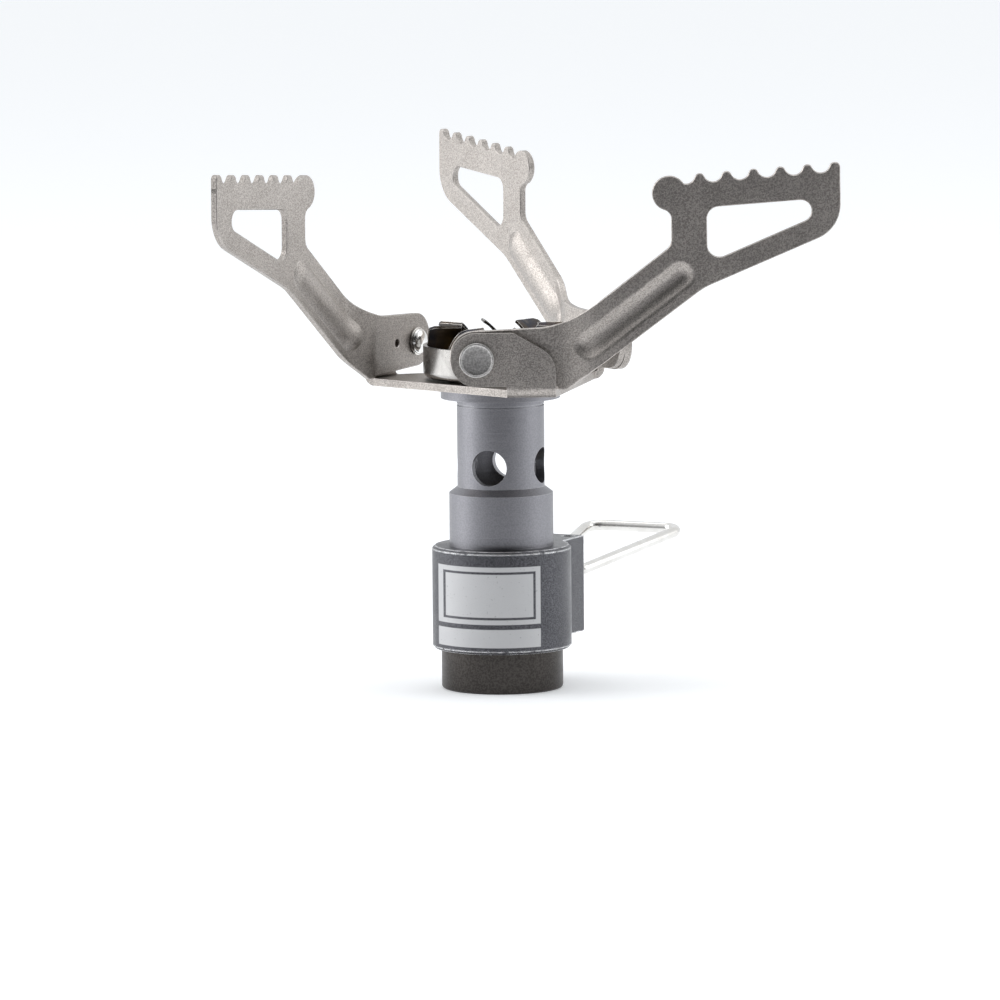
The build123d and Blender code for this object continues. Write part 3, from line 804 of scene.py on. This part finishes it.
def thread_tree():
    """Ridge of a screw thread, wound up from a starting height."""
    inputs = {"Radius": ("NodeSocketFloat", 0.0055), "Pitch": ("NodeSocketFloat", 0.0009),
              "Turns": ("NodeSocketFloat", 6.0), "Ridge": ("NodeSocketFloat", 0.0004),
              "Start": ("NodeSocketFloat", 0.0005)}
    tree, source, sink = geometry_tree("thread_ridge", inputs)
    spiral = tree.nodes.new("GeometryNodeCurveSpiral")
    spiral.inputs["Resolution"].default_value = 64
    tree.links.new(source.outputs["Turns"], spiral.inputs["Rotations"])
    tree.links.new(source.outputs["Radius"], spiral.inputs["Start Radius"])
    tree.links.new(source.outputs["Radius"], spiral.inputs["End Radius"])
    height = math_node(tree, "MULTIPLY", source.outputs["Pitch"], source.outputs["Turns"])
    tree.links.new(height, spiral.inputs["Height"])
    ridge = tree.nodes.new("GeometryNodeCurvePrimitiveCircle")
    ridge.inputs["Resolution"].default_value = 4
    tree.links.new(source.outputs["Ridge"], ridge.inputs["Radius"])
    wound = tree.nodes.new("GeometryNodeCurveToMesh")
    wound.inputs["Fill Caps"].default_value = True
    tree.links.new(spiral.outputs["Curve"], wound.inputs["Curve"])
    tree.links.new(ridge.outputs["Curve"], wound.inputs["Profile Curve"])
    lift = tree.nodes.new("ShaderNodeCombineXYZ")
    tree.links.new(source.outputs["Start"], lift.inputs["Z"])
    moved = tree.nodes.new("GeometryNodeTransform")
    tree.links.new(wound.outputs["Mesh"], moved.inputs["Geometry"])
    tree.links.new(lift.outputs["Vector"], moved.inputs["Translation"])
    close_tree(tree, source, sink, moved.outputs["Geometry"])
    return tree


def bent_wire_tree():
    """Round wire along the piece's own edges, each corner bent to its 'bend' radius."""
    inputs = {"Wire Radius": ("NodeSocketFloat", 0.0007), "Bend Steps": ("NodeSocketInt", 12)}
    tree, source, sink = geometry_tree("bent_wire", inputs)
    path = tree.nodes.new("GeometryNodeMeshToCurve")
    tree.links.new(source.outputs["Geometry"], path.inputs["Mesh"])
    bend = tree.nodes.new("GeometryNodeInputNamedAttribute")
    bend.data_type = "FLOAT"
    bend.inputs["Name"].default_value = "bend"
    rounded = tree.nodes.new("GeometryNodeFilletCurve")
    rounded.mode = "POLY"
    tree.links.new(path.outputs["Curve"], rounded.inputs["Curve"])
    tree.links.new(source.outputs["Bend Steps"], rounded.inputs["Count"])
    tree.links.new(bend.outputs["Attribute"], rounded.inputs["Radius"])
    section = tree.nodes.new("GeometryNodeCurvePrimitiveCircle")
    section.inputs["Resolution"].default_value = 24
    tree.links.new(source.outputs["Wire Radius"], section.inputs["Radius"])
    wire = tree.nodes.new("GeometryNodeCurveToMesh")
    wire.inputs["Fill Caps"].default_value = True
    tree.links.new(rounded.outputs["Curve"], wire.inputs["Curve"])
    tree.links.new(section.outputs["Curve"], wire.inputs["Profile Curve"])
    close_tree(tree, source, sink, wire.outputs["Mesh"])
    return tree


REPEAT_ROUND = repeat_round_tree()
THREAD_RIDGE = thread_tree()
BENT_WIRE = bent_wire_tree()


def grown(name, mesh, tree, values, material, replaced, body=BODY, angle=35.0):
    """Finished piece from a mesh and a geometry tree, as one plain mesh."""
    piece = object_of(name, mesh)
    modifier = piece.modifiers.new("shape", "NODES")
    modifier.node_group = tree
    values = dict(values, Material=material)
    for item in tree.interface.items_tree:
        if item.in_out == "INPUT" and item.name in values:
            modifier[item.identifier] = values[item.name]
    applied(piece)
    work = bmesh.new()
    work.from_mesh(piece.data)
    bmesh.ops.recalc_face_normals(work, faces=work.faces)
    work.to_mesh(piece.data)
    work.free()
    wear_material(piece, material)
    smooth(piece.data, angle)
    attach(piece, body)
    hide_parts(replaced)


def at_front_pivot(mesh):
    """Lay a turned mesh on the front rivet's axis, its height pointing outwards."""
    mesh.transform(Matrix.Translation((PIVOT.x, 0, PIVOT.z)) @ Matrix.Rotation(math.pi / 2, 4, "X"))
    return mesh


def in_mm(points, lift=0.0):
    """Profile from mm to metres, raised by a height in metres."""
    return [(radius * MM, height * MM + lift) for radius, height in points]


# rivets, in mm; places are distances from the stove's axis along the rivet
SHANK_RADIUS = 1.25
SHANK_END = 13.45
EAR_FACE = 15.6
HEAD_RADIUS = 2.17
HEAD_RIM = ((0.0, 0.33), (0.04, 0.42), (0.12, 0.49), (0.20, 0.50), (0.28, 0.48), (0.33, 0.42), (0.39, 0.40))
HEAD_DISH = ((1.2, 0.39), (0.6, 0.38), (0.35, 0.36), (0, 0.355))
FORMED_RADIUS = 1.6
FORMED_HEIGHT = 0.7
FORMED_FACE = 13.4
FORMED_FULLNESS = 0.7
WASHER_HOLE = 1.27
WASHER_RADIUS = 1.75
WASHER_END = 13.70
WASHER_BREAK = 0.05
TURNED_STEPS = 64


def rivets():
    """Hammered outer heads on their shanks, bright formed heads and washers inside."""
    head = [(0, SHANK_END), (SHANK_RADIUS, SHANK_END), (SHANK_RADIUS, EAR_FACE),
            (HEAD_RADIUS - 0.05, EAR_FACE), (HEAD_RADIUS, EAR_FACE + 0.05)]
    head += [(HEAD_RADIUS - inwards, EAR_FACE + height) for inwards, height in HEAD_RIM]
    head += [(radius, EAR_FACE + height) for radius, height in HEAD_DISH]
    mesh = at_front_pivot(lathe("rivet_head", in_mm(head), TURNED_STEPS))
    grown("rivet_heads", mesh, REPEAT_ROUND, {"Count": ARMS}, RIVET_STEEL, "pivot_rivets")
    dome = [(0, 13.46), (1.52, 13.46), (FORMED_RADIUS, 13.42)]
    for degrees in range(0, 90, 9):
        angle = math.radians(degrees)
        radius = FORMED_RADIUS * math.cos(angle) ** FORMED_FULLNESS
        dome.append((radius, FORMED_FACE - FORMED_HEIGHT * math.sin(angle)))
    dome.append((0, FORMED_FACE - FORMED_HEIGHT))
    mesh = at_front_pivot(lathe("formed_head", in_mm(dome), TURNED_STEPS))
    grown("formed_heads", mesh, REPEAT_ROUND, {"Count": ARMS}, HEAD_STEEL, "pivot_rivets")
    edge = WASHER_RADIUS - WASHER_BREAK
    ring = [(WASHER_HOLE, SHANK_END), (edge, SHANK_END), (WASHER_RADIUS, SHANK_END + WASHER_BREAK),
            (WASHER_RADIUS, WASHER_END - WASHER_BREAK), (edge, WASHER_END), (WASHER_HOLE, WASHER_END)]
    mesh = at_front_pivot(lathe("washer", in_mm(ring), TURNED_STEPS, loop=True))
    grown("spring_washers", mesh, REPEAT_ROUND, {"Count": ARMS}, BRIGHT_STEEL,
          "rivet_washers")


THREAD = {"Radius": 5.55 * MM, "Pitch": 0.907 * MM, "Turns": 6.0, "Ridge": 0.44 * MM, "Start": 0.6 * MM}


def collar():
    """Turned collar with a cut thread inside."""
    profile = [(5.95, 0), (7.2, 0), (7.38, 0.05), (7.54, 0.2), (7.6, 0.4), (7.6, 5.0), (7.5, 5.1), (6.7, 5.1),
               (6.7, 9.1), (5.7, 9.1), (5.7, 6.5), (5.55, 6.35), (5.55, 0.4)]
    mesh = lathe("collar", in_mm(profile), 128, loop=True)
    piece = object_of("threaded_collar", mesh)
    wear_material(piece, COLLAR_ALLOY)
    smooth(mesh, 30.0)
    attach(piece, BODY)
    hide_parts("canister_collar")
    grown("collar_thread", bpy.data.meshes.new("thread"), THREAD_RIDGE, THREAD, COLLAR_ALLOY,
          "canister_collar", angle=20.0)


# flame spreader
CUP_RIM = 43.15 * MM
DISC_TOP = CUP_RIM - 0.5 * MM
DISC_PROFILE = [(0, -0.35), (5.52, -0.35), (5.6, -0.29), (5.6, -0.06), (5.52, 0), (1.35, 0), (1.2, 0.05)]
DOME_RADIUS = 1.15
DOME_HEIGHT = 0.6
DOME_FOOT = 0.05
VANE_INNER = 4.9 * MM
VANE_OUTER = 9.0 * MM
VANE_CHORD = 4.3 * MM
VANE_SHEET = 0.35 * MM
VANE_CAMBER = 0.45 * MM
VANE_CORNER = 0.7 * MM
VANE_TILT = math.radians(54.0)
VANE_SINK = 0.45 * MM
VANE_COLUMNS, VANE_ROWS = 8, 12
LEG_LOW = DISC_TOP - 1.45 * MM
LEG_HIGH = DISC_TOP - 0.15 * MM
LEG_RADII = (5.25 * MM, 5.6 * MM)
LEG_HALF = 0.8 * MM


def vane_blade():
    """One cambered vane of the flame spreader, as it stands on the +X side."""
    columns, rows, chord = VANE_COLUMNS, VANE_ROWS, VANE_CHORD
    centre_z = DISC_TOP + chord * math.sin(VANE_TILT) / 2 - VANE_SINK
    work = bmesh.new()
    layers = []
    for sign in (1, -1):
        layer = []
        for row in range(rows + 1):
            v = (row / rows - 0.5) * chord
            edge = max(0.0, abs(v) - (chord / 2 - VANE_CORNER))
            reach = VANE_OUTER - VANE_CORNER + math.sqrt(max(VANE_CORNER ** 2 - edge ** 2, 0.0))
            bow = VANE_CAMBER * (1 - (2 * v / chord) ** 2)
            slope = -8 * VANE_CAMBER * v / chord ** 2
            normal = Vector((0, -slope, 1)).normalized()
            line = []
            for column in range(columns + 1):
                x = VANE_INNER + (reach - VANE_INNER) * column / columns
                spot = Vector((x, v, bow - VANE_CAMBER / 2)) + normal * sign * VANE_SHEET / 2
                y = spot.y * math.cos(VANE_TILT) - spot.z * math.sin(VANE_TILT)
                z = spot.y * math.sin(VANE_TILT) + spot.z * math.cos(VANE_TILT)
                line.append(work.verts.new((x, y, centre_z + z)))
            layer.append(line)
        layers.append(layer)
    for layer in layers:
        for row in range(rows):
            for column in range(columns):
                work.faces.new((layer[row][column], layer[row][column + 1],
                                layer[row + 1][column + 1], layer[row + 1][column]))
    upper, lower = layers
    for column in range(columns):
        for row in (0, rows):
            work.faces.new((upper[row][column], upper[row][column + 1],
                            lower[row][column + 1], lower[row][column]))
    for row in range(rows):
        for column in (0, columns):
            work.faces.new((upper[row][column], upper[row + 1][column],
                            lower[row + 1][column], lower[row][column]))
    return mesh_of("vane", work)


def spreader_leg():
    """One leg under the spreader's disc, folded down from its rim."""
    near, far = LEG_RADII
    work = bmesh.new()
    rail = [(near, LEG_LOW), (far, LEG_LOW), (far, LEG_HIGH), (near, LEG_HIGH)]
    sides = []
    for y in (-LEG_HALF, LEG_HALF):
        sides.append([work.verts.new((x, y, z)) for x, z in rail])
    for index in range(4):
        after = (index + 1) % 4
        work.faces.new((sides[0][index], sides[0][after], sides[1][after], sides[1][index]))
    work.faces.new(sides[0])
    work.faces.new(sides[1])
    return mesh_of("leg", work)


def spreader():
    """Disc with a small dome, on legs, and its ring of vanes."""
    disc = list(DISC_PROFILE)
    for degrees in range(15, 90, 15):
        angle = math.radians(degrees)
        disc.append((DOME_RADIUS * math.cos(angle), DOME_FOOT + DOME_HEIGHT * math.sin(angle)))
    disc.append((0, DOME_FOOT + DOME_HEIGHT))
    mesh = lathe("disc", in_mm(disc, DISC_TOP), 96)
    piece = object_of("spreader_disc", mesh)
    wear_material(piece, TINTED_STEEL)
    smooth(mesh, 35.0)
    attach(piece, BODY)
    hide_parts("flame_spreader")
    grown("spreader_legs", spreader_leg(), REPEAT_ROUND, {"Count": 4}, TINTED_STEEL,
          "flame_spreader")
    grown("spreader_vanes", vane_blade(), REPEAT_ROUND, {"Count": 8, "First Turn": math.radians(6.0)},
          TINTED_STEEL, "flame_spreader")


# wire handle
SPINDLE_TURN = math.radians(65)
HINGE_REACH = 17.6 * MM
HINGE_HEIGHT = 12.8 * MM
HANDLE_TILT = math.radians(7)
WIRE_RADIUS = 0.7 * MM
# corners on the handle's own plane, in mm: outwards, across, bend radius
HANDLE_CORNERS = [(0, 0.15, 0), (0, 2.8, 1.1), (23.5, 6.6, 1.9), (23.5, -6.6, 1.9), (0, -2.8, 1.1),
                  (0, -0.15, 0)]


def wire_handle():
    """The handle's wire, bent at four corners, its ends meeting in the spindle's cross hole."""
    spindle = Vector((math.cos(SPINDLE_TURN), math.sin(SPINDLE_TURN), 0))
    across = Vector((-spindle.y, spindle.x, 0))
    hinge = spindle * HINGE_REACH + Vector((0, 0, HINGE_HEIGHT))
    out = spindle * math.cos(HANDLE_TILT) + Vector((0, 0, math.sin(HANDLE_TILT)))
    mesh = bpy.data.meshes.new("wire_path")
    spots = [hinge + (out * x + across * y) * MM for x, y, bend in HANDLE_CORNERS]
    mesh.from_pydata(spots, [(i, i + 1) for i in range(len(spots) - 1)], [])
    bends = mesh.attributes.new("bend", "FLOAT", "POINT")
    for index, (x, y, bend) in enumerate(HANDLE_CORNERS):
        bends.data[index].value = bend * MM
    grown("bail_wire", mesh, BENT_WIRE, {"Wire Radius": WIRE_RADIUS, "Bend Steps": 12}, BRIGHT_STEEL,
          "wire_handle", body="handle", angle=50.0)


# ---- finishes of CAD pieces
def finished_bodies():
    """Edges broken on the larger CAD pieces, new finishes on the rest."""
    refined("valve_body", "body_block", BODY_ALLOY, 0.12 * MM)
    refined("mixing_tube", "gas_tube", TUBE_ALLOY, 0.08 * MM)
    refined("support_bracket", "bracket", TITANIUM, 0.10 * MM)
    refined("burner_cup", "cup", CUP_STEEL, 0.10 * MM)
    refined("needle_spindle", "spindle_rod", BRIGHT_STEEL, 0.06 * MM, body="spindle")
    refined("gland_nut", "gland", COLLAR_ALLOY, 0.10 * MM)
    finishes = {
        "inlet_o_ring": RUBBER,
        "spindle_o_ring": RUBBER,
        "valve_probe": BRASS,
        "gas_jet": BRASS,
        "burner_nut": BRASS,
        "inlet_filter": SINTERED,
        "gland_lock_pin": BRIGHT_STEEL,
        "burner_spacer": TINTED_STEEL,
    }
    for node, material in finishes.items():
        wear_material(nodes[node], material)


# ---- studio
def dark_card(name, corners, colour):
    """Card that only reflections see, as the dark end of the light tent."""
    material, tree, shader = start_material(name, metallic=0.0)
    shader.inputs["Base Color"].default_value = (*colour, 1)
    shader.inputs["Roughness"].default_value = 1.0
    mesh = bpy.data.meshes.new(name)
    mesh.from_pydata(corners, [], [(0, 1, 2, 3)])
    card = object_of(name, mesh)
    wear_material(card, material)
    card.visible_camera = False
    card.visible_diffuse = False
    card.visible_shadow = False


def studio():
    """White floor, three soft lamps, dark cards in front and a world that dims towards the front."""
    mesh = bpy.data.meshes.new("floor")
    half = 6.0
    corners = [(-half, -half, 0), (half, -half, 0), (half, half, 0), (-half, half, 0)]
    mesh.from_pydata(corners, [], [(0, 1, 2, 3)])
    floor = object_of("floor", mesh)
    material, tree, shader = start_material("floor_paper", metallic=0.0)
    shader.inputs["Base Color"].default_value = (0.93, 0.94, 0.95, 1)
    shader.inputs["Roughness"].default_value = 0.9
    shader.inputs["Specular IOR Level"].default_value = 0.1
    shader.inputs["Emission Color"].default_value = (0.97, 0.985, 1.0, 1)
    shader.inputs["Emission Strength"].default_value = 0.2
    wear_material(floor, material)
    lamps = {
        "left_box": ((-0.55, 0.05, 0.26), (0.45, 0.55), 1.6),
        "right_box": ((0.55, 0.05, 0.26), (0.45, 0.55), 0.6),
        "top_box": ((0.0, 0.15, 0.65), (0.5, 0.5), 0.7),
    }
    for name, (place, size, power) in lamps.items():
        light = bpy.data.lights.new(name, "AREA")
        light.shape = "RECTANGLE"
        light.size, light.size_y = size
        light.energy = power
        lamp = bpy.data.objects.new(name, light)
        lamp.location = place
        aim = Vector((0, 0, 0.04)) - Vector(place)
        lamp.rotation_euler = aim.to_track_quat("-Z", "Y").to_euler()
        bpy.context.scene.collection.objects.link(lamp)
    wide, near, far, low, high = 0.32, -0.10, -0.45, 0.002, 0.5
    upright = [(-wide, far, 0), (-wide, far, high), (wide, far, high), (wide, far, 0)]
    dark_card("front_card", upright, (0.02, 0.02, 0.02))
    lying = [(-wide, far, low), (wide, far, low), (wide, near, low), (-wide, near, low)]
    dark_card("floor_card", lying, (0.5, 0.5, 0.52))
    world = bpy.data.worlds.new("studio")
    bpy.context.scene.world = world
    world.use_nodes = True
    tree = world.node_tree
    background = tree.nodes["Background"]
    place = tree.nodes.new("ShaderNodeTexCoord")
    split = tree.nodes.new("ShaderNodeSeparateXYZ")
    tree.links.new(place.outputs["Generated"], split.inputs["Vector"])
    dim = smooth_range(tree, split.outputs["Y"], -0.95, -0.10, 0.10, 0.95)
    path = tree.nodes.new("ShaderNodeLightPath")
    level = smooth_range(tree, path.outputs["Is Camera Ray"], 0.0, 1.0, dim, 0.95)
    tree.links.new(level, background.inputs["Strength"])
    background.inputs["Color"].default_value = (0.96, 0.98, 1.0, 1)
    bpy.context.scene.view_settings.view_transform = "Standard"


DISTANCE = 1.15
ELEVATION = math.radians(6.63)
ROLL = math.radians(-0.46)
AIM = Vector((-0.15 * MM, 0, 23.56 * MM))
SENSOR = 36
SEEN_WIDTH = 0.125      # metres across the picture at the aim


def catalogue_camera():
    """Long lens, a little above the stove, as in a catalogue picture."""
    lens = bpy.data.cameras.new("camera")
    lens.sensor_width = SENSOR
    lens.lens = SENSOR * DISTANCE / SEEN_WIDTH
    lens.clip_start = 0.05
    camera = bpy.data.objects.new("camera", lens)
    camera.location = AIM + Vector((0, -math.cos(ELEVATION), math.sin(ELEVATION))) * DISTANCE
    roll = Matrix.Rotation(ROLL, 4, "Z")
    camera.rotation_euler = (Matrix.Rotation(math.pi / 2 - ELEVATION, 4, "X") @ roll).to_euler()
    bpy.context.scene.collection.objects.link(camera)
    bpy.context.scene.camera = camera


catalogue_camera()
studio()
pot_supports()
wire_handle()
collar()
rivets()
spreader()
finished_bodies()
